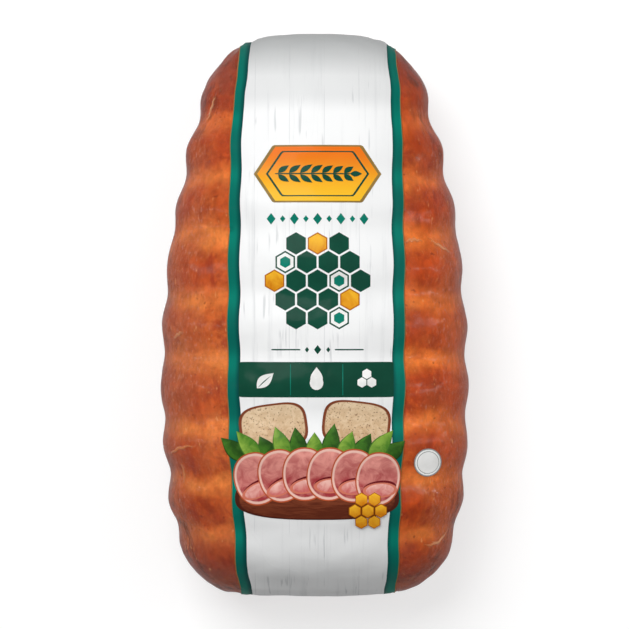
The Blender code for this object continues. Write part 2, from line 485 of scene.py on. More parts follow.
skin = {
    "bandWidth": 0.102,
    "endNarrowing": 0.12,
    "narrowingEnds": 0.140,
    "stripeShare": 0.875,     # of the band's half width, where a stripe begins
    "stripeLine": 0.05,       # how near to its inner edge a stripe widens
    "rightShift": 0.0017,     # the band was laid a little to the right
    "top": (0.080, 0.095),    # heights between which a shift on the top sets in
    "overEnds": (0.032, 0.052),       # and one that runs over the ends too
    # left and right values, each with its stations along the ham: where it starts and is
    # full, and for a waist also where it fades and is gone
    "headFlare": (0.0029, 0.0046),    # the band's edges run out again at the ends
    "headFlareAt": (0.055, 0.145),
    "footFlare": (0.0024, 0.0036),
    "footFlareAt": (0.095, 0.150),
    "widen": (0.0008, 0.0007),        # of a stripe
    "endWiden": 0.0010,
    "endWidenAt": (0.105, 0.150),
    "headLean": ((0.0019, 0.140, 0.168), (0.0019, 0.126, 0.146)),    # to the right: how far, from, to
    "footLean": ((0.0024, 0.152, 0.166), (0.0003, 0.152, 0.166)),
    "headWaist": (0.0026, 0.0030),    # the sides draw in here
    "headWaistAt": (0.040, 0.082, 0.120, 0.150),
    "footWaist": (0.0025, 0.0012),
    "footWaistAt": (0.045, 0.085, 0.115, 0.165),
    "shoulder": (0.0002, 0.0020),     # and stand out here
    "shoulderAt": 0.140,
    "shoulderLength": 0.011,
    "touch": 0.0022,          # a face this near below a film piece lies under it
    "lumpSize": 0.030,
    "lumpHeight": 0.0016,
    "dimpleSize": 0.011,
    "dimpleHeight": 0.0007,
    "flatBelow": 0.003,
    "fullAbove": 0.020,
}
ribs = {
    "count": 9,
    "fromHead": 0.0535,       # to the first valley
    "pitch": 0.035,
    "drift": 0.0027,
    "sway": 0.0004,           # how far the band's edges follow the ribs
    "glow": 0.0068,           # half width of the bright stretch in a valley
    # painted light: the bright stretch sits this far towards the wide end, as if lit from beyond the narrow
    # end
    "glowShift": 0.0030,
    "wander": 0.0055,
    "wanderScale": 24,
    "ragged": 0.45,
    "raggedScale": 45,
}
# The band takes no tail faces, so its fourth slot is free for the edge line
slots = {"bare": 0, "white": 1, "stripe": 2, "tail": 3, "edge": 3}


def bandHalfWidth(y):
    ends = min(1.0, abs(y) / skin["narrowingEnds"]) ** 3
    return skin["bandWidth"] / 2 * (1 - skin["endNarrowing"] * ends)


def liesUnder(face, nodeName):
    found, place = frame["nodes"][nodeName].closest_point_on_mesh(face.center)[:2]
    offset = place - face.center
    return found and offset.length < skin["touch"] and offset.normalized().dot(face.normal) > 0.8


def makeSkin(materials):
    node = frame["nodes"]["wrapped_ham"]
    piece = bpy.data.objects.new("skin", node.data.copy())
    scene.collection.objects.link(piece)
    piece.data.materials.clear()
    for material in materials:
        piece.data.materials.append(material)
    activate(piece)
    bpy.ops.mesh.customdata_custom_splitnormals_clear()
    bpy.ops.object.mode_set(mode="EDIT")
    bpy.ops.mesh.select_all(action="SELECT")
    bpy.ops.mesh.remove_doubles(threshold=0.00001)
    bpy.ops.mesh.tris_convert_to_quads(face_threshold=math.pi, shape_threshold=math.pi,
                                       topology_influence=1.0)
    bpy.ops.object.mode_set(mode="OBJECT")
    for face in piece.data.polygons:
        face.material_index = slots["bare"]
        if liesUnder(face, "printed_band"):
            face.material_index = slots["white"]
        elif liesUnder(face, "head_tail") or liesUnder(face, "foot_tail"):
            face.material_index = slots["tail"]

    applyModifier(piece, "SUBSURF", levels=1, render_levels=1)
    for face in piece.data.polygons:
        edge = skin["stripeShare"] * bandHalfWidth(face.center.y)
        if face.material_index == slots["white"] and abs(face.center.x) > edge:
            face.material_index = slots["stripe"]
    applyModifier(piece, "SUBSURF", levels=1, render_levels=1)
    bpy.ops.object.shade_smooth()
    share = piece.data.attributes.new("acrossShare", "FLOAT", "POINT")
    share.data.foreach_set("value", [abs(v.co.x) / bandHalfWidth(v.co.y) for v in piece.data.vertices])
    return piece


def weighUpper(piece):
    group = piece.vertex_groups.new(name="aboveTable")
    for vert in piece.data.vertices:
        group.add([vert.index], smoothStep(vert.co.z, skin["flatBelow"], skin["fullAbove"]), "REPLACE")


def swellSkin(piece):
    weighUpper(piece)
    for name, size, height in (("lumps", skin["lumpSize"], skin["lumpHeight"]),
                               ("dimples", skin["dimpleSize"], skin["dimpleHeight"])):
        texture = bpy.data.textures.new(name, "CLOUDS")
        texture.noise_scale = size
        texture.noise_depth = 1
        applyModifier(piece, "DISPLACE", texture=texture, texture_coords="LOCAL", strength=height,
                      mid_level=0.5, vertex_group="aboveTable")
    for vert in piece.data.vertices:
        vert.co.z = max(vert.co.z, film["gap"])    # room for the film under it


def ribValleys():
    valleys = []
    for number in range(-1, ribs["count"]):
        drift = ribs["drift"] * math.sin(2 * math.pi * number / (ribs["count"] - 2))
        valleys.append(cadBox[1].y - 0.0009 - (ribs["fromHead"] + ribs["pitch"] * number - drift))
    return valleys


# 1 on a rib's crest and -1 between two ribs
def ribWave(y, valleys):
    nearest = min(abs(y - valley) for valley in valleys)
    return -math.cos(2 * math.pi * min(nearest / ribs["pitch"], 0.5))


def leanAt(reach, lean):
    howFar, start, full = lean
    return howFar * smoothStep(reach, start, full)


# The printed edges run out over each rib and back in between two. Only the grid's
# lines move, and the skin keeps its form.
def swaySkin(piece):
    form = bpy.data.objects.new("skinForm", piece.data.copy())
    scene.collection.objects.link(form)
    valleys = ribValleys()
    for vert in piece.data.vertices:
        side = 1 if vert.co.x > 0 else 0
        x, y, z = abs(vert.co.x), vert.co.y, vert.co.z
        edge = bandHalfWidth(y)
        onTop = smoothStep(z, *skin["top"])
        shift = (ribs["sway"] * ribWave(y, valleys) + skin["rightShift"] * side) * onTop
        overEnd = smoothStep(z, *skin["overEnds"])
        shift += skin["headFlare"][side] * overEnd * smoothStep(y, *skin["headFlareAt"])
        shift += skin["footFlare"][side] * overEnd * smoothStep(-y, *skin["footFlareAt"])
        near = plateau(x / edge, 0.4, 0.8, 1.2, 1.6)
        atInner = math.exp(-((x / edge - skin["stripeShare"]) / skin["stripeLine"]) ** 2)
        widen = skin["widen"][side] + skin["endWiden"] * smoothStep(abs(y), *skin["endWidenAt"])
        shift = shift * near - widen * atInner
        toRight = leanAt(y, skin["headLean"][side]) + leanAt(-y, skin["footLean"][side])
        vert.co.x += (shift if side else -shift) + toRight * near * overEnd
    applyModifier(piece, "SHRINKWRAP", target=form, wrap_method="NEAREST_SURFACEPOINT")
    bpy.data.objects.remove(form)


# The left and right sides draw in towards both ends, most of all between two ribs
def drawInSides(piece):
    valleys = ribValleys()
    for vert in piece.data.vertices:
        side = 1 if vert.co.x > 0 else 0
        x, y = abs(vert.co.x), vert.co.y
        waist = skin["headWaist"][side] * plateau(y, *skin["headWaistAt"])
        waist += skin["footWaist"][side] * plateau(-y, *skin["footWaistAt"])
        waist *= 0.85 - 0.25 * ribWave(y, valleys)
        shoulder = math.exp(-((y - skin["shoulderAt"]) / skin["shoulderLength"]) ** 2)
        edge = bandHalfWidth(y)
        outer = smoothStep(x, 1.05 * edge, 1.50 * edge)
        shift = (waist - skin["shoulder"][side] * shoulder) * outer
        vert.co.x -= shift if side else -shift


# Marks the lighter stretch between two ribs: on the meat paler skin plus painted light, on the stripes
# painted light only
def paintValleys(piece):
    valleys = ribValleys()
    shade = piece.data.attributes.new("ribValley", "FLOAT", "POINT")
    values = []
    for vert in piece.data.vertices:
        wander = ribs["wander"] * noise.noise(vert.co * ribs["wanderScale"])
        width = ribs["glow"] * (1 + ribs["ragged"] * noise.noise(vert.co * ribs["raggedScale"]))
        nearest = min(abs(vert.co.y + wander - valley + ribs["glowShift"]) for valley in valleys[1:])
        values.append(math.exp(-(nearest / width) ** 2))
    shade.data.foreach_set("value", values)


def takeFaces(piece, name, slotNames, growBy=0):
    activate(piece)
    bpy.ops.object.mode_set(mode="EDIT")
    bpy.ops.mesh.select_all(action="DESELECT")
    for slotName in slotNames:
        piece.active_material_index = slots[slotName]
        bpy.ops.object.material_slot_select()
    for step in range(growBy):
        bpy.ops.mesh.select_more()
    bpy.ops.mesh.duplicate()
    bpy.ops.mesh.separate(type="SELECTED")
    bpy.ops.object.mode_set(mode="OBJECT")
    taken = next(obj for obj in bpy.context.selected_objects if obj != piece)
    taken.name = name
    taken.data.name = name
    return taken


def dressWith(piece, *materials):
    piece.data.materials.clear()
    for material in materials:
        piece.data.materials.append(material)


# A hairline beside each green stripe, pulled out of the band's own side edges
def drawEdgeLines(piece):
    for side in (-1, 1):
        activate(piece)
        bpy.ops.object.mode_set(mode="EDIT")
        bpy.ops.mesh.select_mode(type="EDGE")
        bpy.ops.mesh.select_all(action="SELECT")
        bpy.ops.mesh.region_to_loop()
        bpy.ops.object.mode_set(mode="OBJECT")
        verts = piece.data.vertices
        for edge in piece.data.edges:
            middle = (verts[edge.vertices[0]].co + verts[edge.vertices[1]].co) / 2
            outer = side * middle.x > 0.98 * bandHalfWidth(middle.y)
            edge.select = edge.select and outer
        for vert in verts:
            vert.select = False
        for edge in piece.data.edges:
            if edge.select:
                verts[edge.vertices[0]].select = verts[edge.vertices[1]].select = True
        bpy.ops.object.mode_set(mode="EDIT")
        shift = (side * film["edgeLine"], 0, -0.3 * film["edgeLine"])
        bpy.ops.mesh.extrude_region_move(TRANSFORM_OT_translate={"value": shift})
        bpy.ops.object.mode_set(mode="OBJECT")
        verts = piece.data.vertices
        for face in piece.data.polygons:
            if any(verts[index].select for index in face.vertices):
                face.material_index = slots["edge"]


def makePrintBed(piece):
    bed = bpy.data.objects.new("printBed", piece.data.copy())
    scene.collection.objects.link(bed)
    applyModifier(bed, "DISPLACE", strength=film["bandGap"] + film["bandThickness"], mid_level=0.0)
    return bed


# The two flat ends of the film tube: pleats run down them, a crimped seal runs across
tail = {
    "lift": 0.0004,
    "thickness": 0.00025,
    "halfWidth": 0.0342,
    "top": 0.0355,
    "fadeWidth": 0.0045,      # it melts into the pack at the sides and the top
    "pleatPitch": 0.0049,
    "pleatHeight": 0.0011,
    "crimpPitch": 0.0018,
    "crimpHeight": 0.0003,
    "crimpBelow": 0.0290,
    "shine": {"roughness": 0.22, "specular": 0.45, "coat": 0.0, "coatRoughness": 0.10},
    "colours": ((0.62, 0.32, 0.22), (0.88, 0.68, 0.58)),
    "alpha": 0.62,
}


# Soft folds in the pack itself, fanning out from the corners of the two tails
def gatherEnds(piece):
    x, y, z = crease["fanStart"]
    spacing = math.radians(crease["fan"][1] - crease["fan"][0])
    places = []
    for vert in piece.data.vertices:
        across, rise = abs(vert.co.x) - x, vert.co.z - z
        away = math.hypot(across, rise)
        angle = math.atan2(rise, across) - math.radians(crease["fan"][0])
        fan = smoothStep(across, -0.006, 0.004) * plateau(away, 0.0, 0.010, 0.018, 0.050)
        share = fan * smoothStep(abs(vert.co.y), 0.125, 0.145) * smoothStep(vert.co.z, 0.004, 0.014)
        height = crease["gatherHeight"] * share * math.cos(2 * math.pi * angle / spacing)
        places.append(vert.co + vert.normal * height)
    for vert, place in zip(piece.data.vertices, places):
        vert.co = place


def pleatTails(piece):
    places, milky = [], []
    for vert in piece.data.vertices:
        x, z = vert.co.x, vert.co.z
        stray = 0.0022 * noise.noise(Vector((x * 70, vert.co.y, z * 50)))
        fold = math.sin(math.pi * (x * (1 + 18 * (z - 0.03)) + stray) / tail["pleatPitch"])
        sealed = smoothStep(z, tail["crimpBelow"] + 0.0008, tail["crimpBelow"])
        crimp = 0.5 + 0.5 * math.sin(2 * math.pi * z / tail["crimpPitch"])
        rise = tail["pleatHeight"] * (1 - abs(fold)) * (1 - 0.75 * sealed)
        rise += tail["crimpHeight"] * crimp * sealed
        places.append(vert.co + vert.normal * (tail["lift"] + rise))
        inside = min(1.3 * (tail["halfWidth"] - abs(x)), tail["top"] - z)
        ridge = max((1 - abs(fold)) ** 1.5, 0.35 + 0.25 * crimp * sealed)
        milky.append(ridge * smoothStep(inside, 0.0, tail["fadeWidth"]))
    for vert, place in zip(piece.data.vertices, places):
        vert.co = place
    piece.data.attributes.new("fold", "FLOAT", "POINT").data.foreach_set("value", milky)


# Small creases in the clear film: narrow raised folds, pressed down at both ends
crease = {
    "height": 0.0007,
    "halfWidth": 0.0017,
    "cell": 0.0009,           # size of its faces along it
    "clearance": 0.004,
    "coreHeight": 0.056,
    "gatherHeight": 0.0007,
    # where they start and end, and how far they bow aside
    "single": (
        ((-0.0850, -0.0160, 0.090), (-0.0765, -0.0105, 0.100), 0.0008),
        ((-0.0880, -0.0860, 0.086), (-0.0690, -0.0775, 0.108), 0.0022),
        ((-0.0815, -0.0905, 0.095), (-0.0805, -0.1000, 0.095), 0.0004),
        ((0.0700, 0.0480, 0.107), (0.0835, 0.0385, 0.092), -0.0016),
        ((0.0535, 0.0450, 0.118), (0.0650, 0.0452, 0.110), 0.0012),
        ((0.0800, -0.1280, 0.080), (0.0640, -0.1370, 0.100), 0.0030),
        ((-0.0700, 0.1180, 0.085), (-0.0600, 0.1330, 0.088), -0.0020),
        ((0.0860, 0.0950, 0.025), (0.0810, 0.1160, 0.038), 0.0025),
        ((-0.0850, 0.0850, 0.040), (-0.0800, 0.1050, 0.025), -0.0025),
    ),
    # gathers that fan out from the corners of each tail, laid on from beyond the end
    "fan": (-42, -22, -2, 18, 38),
    "fanStart": (0.0365, 0.1900, 0.0310),
    "fanLengths": (0.013, 0.022, 0.028, 0.026, 0.021),
    "fanBow": 0.0010,
}


def addCrease(target, start, end, bow, halfWidth, fromEnd=0):
    deselectAll()
    start, end = Vector(start), Vector(end)
    run = end - start
    columns = max(10, round(run.length / crease["cell"]))
    bpy.ops.mesh.primitive_grid_add(x_subdivisions=columns, y_subdivisions=6, size=2)
    piece = bpy.context.active_object
    ridge = piece.vertex_groups.new(name="ridge")
    rises = []
    for vert in piece.data.vertices:
        along, aside = (vert.co.x + 1) / 2, vert.co.y
        place = start.lerp(end, along)
        core = Vector((0, max(-0.12, min(0.12, place.y)), crease["coreHeight"]))
        outward = Vector((0, fromEnd, 0)) if fromEnd else (place - core).normalized()
        lateral = outward.cross(run).normalized()
        taper = math.sin(math.pi * (0.04 + 0.92 * along)) ** 0.6
        ripple = 0.25 * halfWidth * math.sin(21 * along + 900 * start.y)
        place += lateral * (bow * math.sin(math.pi * along) + ripple + aside * halfWidth * taper)
        vert.co = place + outward * crease["clearance"]
        rises.append((1 - aside * aside) * taper)
        ridge.add([vert.index], rises[-1], "REPLACE")
    piece.data.attributes.new("fold", "FLOAT", "POINT").data.foreach_set("value", rises)
    if fromEnd:
        applyModifier(piece, "SHRINKWRAP", target=target, wrap_method="PROJECT", use_project_y=True,
                      use_negative_direction=fromEnd > 0, use_positive_direction=fromEnd < 0)
    else:
        applyModifier(piece, "SHRINKWRAP", target=target, wrap_method="NEAREST_SURFACEPOINT")
    applyModifier(piece, "DISPLACE", strength=crease["height"], mid_level=0.0, vertex_group="ridge")
    bpy.ops.object.shade_smooth()
    return piece


def makeCreases(target, look):
    halfWidth = crease["halfWidth"]
    parts = [addCrease(target, start, end, bow, halfWidth) for start, end, bow in crease["single"]]
    x, y, z = crease["fanStart"]
    for headSide in (1, -1):
        for side in (1, -1):
            for number, (angle, length) in enumerate(zip(crease["fan"], crease["fanLengths"])):
                lean = math.radians(angle + 3 * math.sin(number * 2.1 + headSide + side))
                away = 0.007 + 0.003 * (number % 2)
                start = (side * (x + away * math.cos(lean)), headSide * y, z + away * math.sin(lean))
                end = (side * (x + length * math.cos(lean)), headSide * y, z + length * math.sin(lean))
                bow = crease["fanBow"] * side
                parts.append(addCrease(target, start, end, bow, 0.5 * halfWidth, headSide))
    creases = joinPieces("film_creases", parts)
    dressWith(creases, look)
    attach(creases, body)


print("skin: evening out the packed ham")
meatLook = makeMeat()
boardLook = makeBoardPrint()
stripeLook = makeStripeInk()
edgeLook = makeInk("edgeLine", ink["edgeLine"])
clearLook = makeFilm("clearFilm", film["clearColours"], film["clearAlpha"])
foldLook = makeFilm("foldedFilm", film["foldColours"], film["foldAlpha"], fadeBy="fold")

skinGrid = makeSkin([meatLook, boardLook, stripeLook, foldLook])
swaySkin(skinGrid)
drawInSides(skinGrid)
swellSkin(skinGrid)
gatherEnds(skinGrid)
paintValleys(skinGrid)
printBed = makePrintBed(skinGrid)

print("printed band")
band = takeFaces(skinGrid, "printed_band_film", ["white", "stripe"])
band.data.materials[slots["edge"]] = edgeLook
drawEdgeLines(band)
applyModifier(band, "DISPLACE", strength=film["bandGap"], mid_level=0.0)
applyModifier(band, "SOLIDIFY", thickness=film["bandThickness"], offset=1.0, use_even_offset=True)
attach(band, body)
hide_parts("printed_band")

print("film tails")
tails = takeFaces(skinGrid, "film_tails", ["tail"])
applyModifier(tails, "SUBSURF", levels=2, render_levels=2)
pleatTails(tails)
applyModifier(tails, "SOLIDIFY", thickness=tail["thickness"], offset=1.0)
dressWith(tails, makeFilm("sealedFilm", tail["colours"], tail["alpha"], tail["shine"], "fold"))
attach(tails, body)
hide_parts("head_tail", "foot_tail")

print("clear film")
wrap = takeFaces(skinGrid, "clear_film_wrap", ["bare", "tail"], growBy=1)
dressWith(wrap, clearLook)
applyModifier(wrap, "DISPLACE", strength=film["gap"] - film["thickness"], mid_level=0.0)
applyModifier(wrap, "SOLIDIFY", thickness=film["thickness"], offset=1.0)
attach(wrap, body)
makeCreases(wrap, foldLook)

print("meat")
skinGrid.name = "smoked_ham"
skinGrid.data.name = "smoked_ham"
dressWith(skinGrid, meatLook)
for face in skinGrid.data.polygons:
    face.material_index = 0
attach(skinGrid, body)
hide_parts("wrapped_ham")


# Flat print: each patch is a small grid shaped in plan and then laid down on the band

sheet = {
    "tableHeight": 0.20,      # patches are drawn here, above the pack
    "layer": 0.000045,        # each ink lies this much above the one before
    "first": 0.00009,
    "cell": 0.0012,           # size of a patch's faces
}


def tagPatch(piece, rim, lift):
    for name, values in (("rim", rim), ("lift", lift)):
        tag = piece.data.attributes.new(name, "FLOAT", "POINT")
        tag.data.foreach_set("value", values)


def newGrid(name, along, across):
    deselectAll()
    bpy.ops.mesh.primitive_grid_add(x_subdivisions=max(4, round(along / sheet["cell"])),
                                    y_subdivisions=max(2, round(across / sheet["cell"])), size=2)
    piece = bpy.context.active_object
    piece.name = name
    return piece


def layDown(piece, look, layer):
    activate(piece)
    bpy.ops.object.mode_set(mode="EDIT")
    bpy.ops.mesh.select_all(action="SELECT")
    bpy.ops.mesh.remove_doubles(threshold=0.00002)
    bpy.ops.object.mode_set(mode="OBJECT")
    applyModifier(piece, "SHRINKWRAP", target=printBed, wrap_method="PROJECT", use_project_z=True,
                  use_negative_direction=True, use_positive_direction=False, wrap_mode="ABOVE_SURFACE",
                  offset=sheet["first"] + sheet["layer"] * layer)
    bpy.ops.object.shade_smooth()
    dressWith(piece, look)
    return piece


def turned(x, y, centre, turn):
    cosine, sine = math.cos(turn), math.sin(turn)
    return centre[0] + x * cosine - y * sine, centre[1] + x * sine + y * cosine, sheet["tableHeight"]


# A blob's outline: 1 is a lozenge, 2 an ellipse, 4 and more a rounded rectangle
def addBlob(look, layer, centre, half, roundness=2.0, turn=0.0):
    piece = newGrid("blob", 2 * half[0], 2 * half[1])
    rim, lift = [], []
    for vert in piece.data.vertices:
        reach = math.sin(vert.co.x * math.pi / 2)
        tall = max(0.0, 1 - abs(reach) ** roundness) ** (1 / roundness)
        rise = vert.co.y * tall
        rim.append((abs(reach) ** roundness + abs(rise) ** roundness) ** (1 / roundness))
        lift.append(rise)
        vert.co = turned(reach * half[0], rise * half[1], centre, turn)
    tagPatch(piece, rim, lift)
    return layDown(piece, look, layer)


# A plaque has straight top and bottom edges and pointed sides
def addPlaque(look, layer, centre, half, pointShare):
    piece = newGrid("plaque", 2 * half[0], 2 * half[1])
    rim, lift = [], []
    for vert in piece.data.vertices:
        tall = min(1.0, (1 - abs(vert.co.x)) / pointShare)
        rim.append(max(abs(vert.co.y), abs(vert.co.x)))
        lift.append(vert.co.y * tall)
        vert.co = turned(vert.co.x * half[0], vert.co.y * tall * half[1], centre, 0.0)
    tagPatch(piece, rim, lift)
    return layDown(piece, look, layer)


# A leaf grows from its foot at an angle, bends, and is widest at a third of its length
def addLeaf(look, layer, foot, length, halfWidth, turn, bend=0.0):
    piece = newGrid("leaf", length, 2 * halfWidth)
    rim, lift = [], []
    for vert in piece.data.vertices:
        share = (vert.co.x + 1) / 2
        wide = halfWidth * math.sin(math.pi * share ** 0.85) ** 1.05
        rim.append(abs(vert.co.y))
        lift.append(vert.co.y)
        swerve = bend * length * share * share
        vert.co = turned(share * length, vert.co.y * wide + swerve, foot, turn)
    tagPatch(piece, rim, lift)
    return layDown(piece, look, layer)


def addHexagon(look, layer, centre, radius, turn=0.0):
    deselectAll()
    bpy.ops.mesh.primitive_circle_add(vertices=6, radius=radius, fill_type="TRIFAN")
    piece = bpy.context.active_object
    bpy.ops.object.mode_set(mode="EDIT")
    bpy.ops.mesh.subdivide(number_cuts=max(2, round(radius / sheet["cell"]) - 1))
    bpy.ops.object.mode_set(mode="OBJECT")
    rim, lift = [], []
    for vert in piece.data.vertices:
        angle = (math.atan2(vert.co.y, vert.co.x) + math.pi / 6) % (math.pi / 3) - math.pi / 6
        rim.append(vert.co.length * math.cos(angle) / (radius * math.cos(math.pi / 6)))
        lift.append(vert.co.y / radius)
        vert.co = turned(vert.co.x, vert.co.y, centre, turn)
    tagPatch(piece, rim, lift)
    return layDown(piece, look, layer)


def finishPrint(name, parts):
    piece = joinPieces(name, parts)
    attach(piece, body)
    return piece


# Pictured food takes its rim, fat line and folds from the patch's own tags

def makeFoodInk(name, centreColours, rimColour, rimFrom, lineColour=None, speck=None,
                stretch=(1, 1, 1), scale=170):
    material, tree = startMaterial(name, film["printShine"])[:2]
    dark, light = centreColours
    lift = readAttribute(tree, "lift")
    rim = readAttribute(tree, "rim")
    marbling = addNoise(tree, objectCoords(tree, stretch), scale, 4.0, 0.6, 0.8)
    share = plus(tree, addRange(tree, lift, -1.0, 1.0, 0.05, 0.75),
                 addRange(tree, marbling, 0.3, 0.7, -0.3, 0.3))
    share = addMath(tree, "MAXIMUM", addMath(tree, "MINIMUM", share, 1.0), 0.0)
    colour = addMix(tree, share, dark, light)
    if speck:
        specks = addNoise(tree, objectCoords(tree), 900, 1.0)
        colour = addMix(tree, addRange(tree, specks, 0.62, 0.70, 0.0, 0.8), colour, speck)
    if lineColour:
        colour = addMix(tree, addRange(tree, rim, rimFrom - 0.10, rimFrom - 0.05), colour, lineColour)
    colour = addMix(tree, addRange(tree, rim, rimFrom, rimFrom + 0.03), colour, rimColour)
    return finishInk(material, colour)


darkGreenInk = makeInk("darkGreenInk", ink["darkGreen"])
tealInk = makeInk("tealInk", ink["teal"])
goldInk = makeInk("goldInk", ink["gold"])
paperInk = makeInk("paperInk", ink["paper"])
greyInk = makeInk("greyLineInk", ink["greyLine"])

# Amber plaque with a leafy twig
plaque = {
    "centre": (0.0018, 0.0825),
    "half": (0.0375, 0.0170),
    "pointShare": 0.30,
    "border": 0.0010,
    "frameInset": 0.0036,
    "frameWidth": 0.0007,
    "twigHalf": 0.0225,
    "twigShift": -0.0025,
    "leaves": 7,
    "leaf": (0.0088, 0.0017),
    "leafTurn": math.radians(44),
}


def makePlaque():
    amberInk = makePlaqueInk("amberPlaque", plaque["centre"][1], plaque["half"][1])
    insets = ((goldInk, 0.0), (amberInk, plaque["border"]), (darkGreenInk, plaque["frameInset"]),
              (amberInk, plaque["frameInset"] + plaque["frameWidth"]))
    parts = []
    for layer, (look, inset) in enumerate(insets):
        half = (plaque["half"][0] - 2 * inset, plaque["half"][1] - inset)
        parts.append(addPlaque(look, layer, plaque["centre"], half, plaque["pointShare"]))
    x, y = plaque["centre"]
    middle = x + plaque["twigShift"]
    parts.append(addBlob(darkGreenInk, 5, (middle, y), (plaque["twigHalf"], 0.0004), 6))
    step = 2 * plaque["twigHalf"] / plaque["leaves"]
    length, halfWidth = plaque["leaf"]
    for number in range(plaque["leaves"]):
        size = 1 - 0.06 * abs(number - 2)
        for side in (1, -1):
            foot = (middle - plaque["twigHalf"] + step * (number + 0.30), y + 0.0004 * side)
            turn = side * plaque["leafTurn"]
            parts.append(addLeaf(darkGreenInk, 6, foot, length * size, halfWidth, turn, -0.16 * side))
    tip = (middle + plaque["twigHalf"] - 0.0010, y)
    parts.append(addLeaf(darkGreenInk, 6, tip, length * 0.8, halfWidth, 0.0))
    finishPrint("print_twig_plaque", parts)


# Row of lozenges, the honeycomb block and the short rule below it
pattern = {
    "middle": 0.0018,
    "lozengeHeight": 0.0560,
    "lozenges": 9,
    "lozengePitch": 0.0068,
    "combTop": 0.0415,
    "combRadius": 0.0066,
    "combGap": 1.10,
    "combRows": (3, 4, 5, 4, 3),
    "ruleHeight": -0.0205,
    "ruleLength": 0.0085,
}


# Rows, columns and centres of a honeycomb's cells, from its top row down
def combCells(top, radius, gap, rows):
    for row, count in enumerate(rows):
        y = top[1] - row * 1.5 * radius * gap
        for column in range(count):
            yield row, column, (top[0] + (column - (count - 1) / 2) * math.sqrt(3) * radius * gap, y)


def makeLozenges():
    parts = []
    for number in range(pattern["lozenges"]):
        away = number - (pattern["lozenges"] - 1) / 2
        half = (0.0026, 0.0034) if number % 2 == 0 else (0.0016, 0.0020)
        centre = (pattern["middle"] + away * pattern["lozengePitch"], pattern["lozengeHeight"])
        parts.append(addBlob(tealInk, 0, centre, half, 1))
    finishPrint("print_lozenge_row", parts)


def makeHoneycomb():
    honeyInk = makeFoodInk("honeyInk", ((0.62, 0.20, 0.006), (0.90, 0.50, 0.03)), (0.42, 0.12, 0.006), 0.86,
                           scale=90)
    radius, top = pattern["combRadius"], (pattern["middle"], pattern["combTop"])
    parts = []
    for row, column, place in combCells(top, radius, pattern["combGap"], pattern["combRows"]):
        cell = (row * 5 + column * 3) % 7
        parts.append(addHexagon(honeyInk if cell == 3 else darkGreenInk, 0, place, radius))
        if cell == 5:
            parts.append(addHexagon(paperInk, 1, place, radius * 0.84))
            parts.append(addHexagon(tealInk, 2, place, radius * 0.52))
    finishPrint("print_honeycomb", parts)
    return honeyInk


def makeRule():
    x, y = pattern["middle"], pattern["ruleHeight"]
    parts = [addBlob(darkGreenInk, 0, (x, y), (0.0021, 0.0027), 1)]
    for side in (-1, 1):
        parts.append(addBlob(darkGreenInk, 0, (x + side * 0.0062, y), (0.0012, 0.0016), 1))
        parts.append(addBlob(darkGreenInk, 0, (x + side * 0.0185, y), (pattern["ruleLength"], 0.0004), 8))
    finishPrint("print_rule", parts)


# Dark green panel of three cells, each with a plain white sign
panel = {
    "centre": (0.0010, -0.0380),
    "half": (0.0453, 0.0103),
    "dividers": (-0.0140, 0.0165),
    "cells": (-0.0290, 0.0012, 0.0305),
    "leafTurn": math.radians(48),
}


def makePanel():
    x, y = panel["centre"]
    panelInk = makeInk("panelGreen", (0.005, 0.062, 0.036), (0.004, 0.052, 0.030), 40)
    parts = [addBlob(panelInk, 0, (x, y), panel["half"], 40)]
    for place in panel["dividers"]:
        parts.append(addBlob(tealInk, 1, (place, y), (0.00028, 0.0090), 12))
    leafCell, dropCell, combCell = panel["cells"]
    turn = panel["leafTurn"]
    parts.append(addLeaf(paperInk, 1, (leafCell - 0.0045, y - 0.0050), 0.0130, 0.0034, turn, -0.10))
    parts.append(addLeaf(panelInk, 2, (leafCell - 0.0040, y - 0.0048), 0.0105, 0.0003, turn, -0.10))
    parts.append(addBlob(paperInk, 1, (dropCell, y - 0.0018), (0.0040, 0.0042), 2))
    parts.append(addLeaf(paperInk, 1, (dropCell, y - 0.0045), 0.0118, 0.0036, math.radians(90)))
    for number in range(3):
        angle = math.radians(90 + 120 * number)
        place = (combCell + 0.0033 * math.cos(angle), y + 0.0033 * math.sin(angle))
        parts.append(addHexagon(paperInk, 1, place, 0.0030))
    finishPrint("print_sign_panel", parts)


# Pictured serving board: bread behind, leaves, a fan of ham slices, honeycomb in front
board = {
    "bread": (((-0.0240, -0.0655), 0.14), ((0.0245, -0.0640), -0.12)),
    "breadHalf": (0.0200, 0.0135),
    "boardCentre": (0.0015, -0.1075),
    "boardHalf": (0.0480, 0.0125),
    "leaves": 11,
    "leafFoot": -0.0865,
    "leafSpread": 0.0400,
    "leafHalfWidth": 0.0052,
    "slices": 6,
    "sliceHalf": (0.0132, 0.0158),
    "sliceSpread": 0.0355,
    "sliceHeight": -0.0930,
    "firstSliceLayer": 4,
    "comb": (0.0310, -0.1080),
    "combRadius": 0.0041,
    "combGap": 1.06,
    "combRows": (2, 3, 2),
    "combLayer": 23,
}


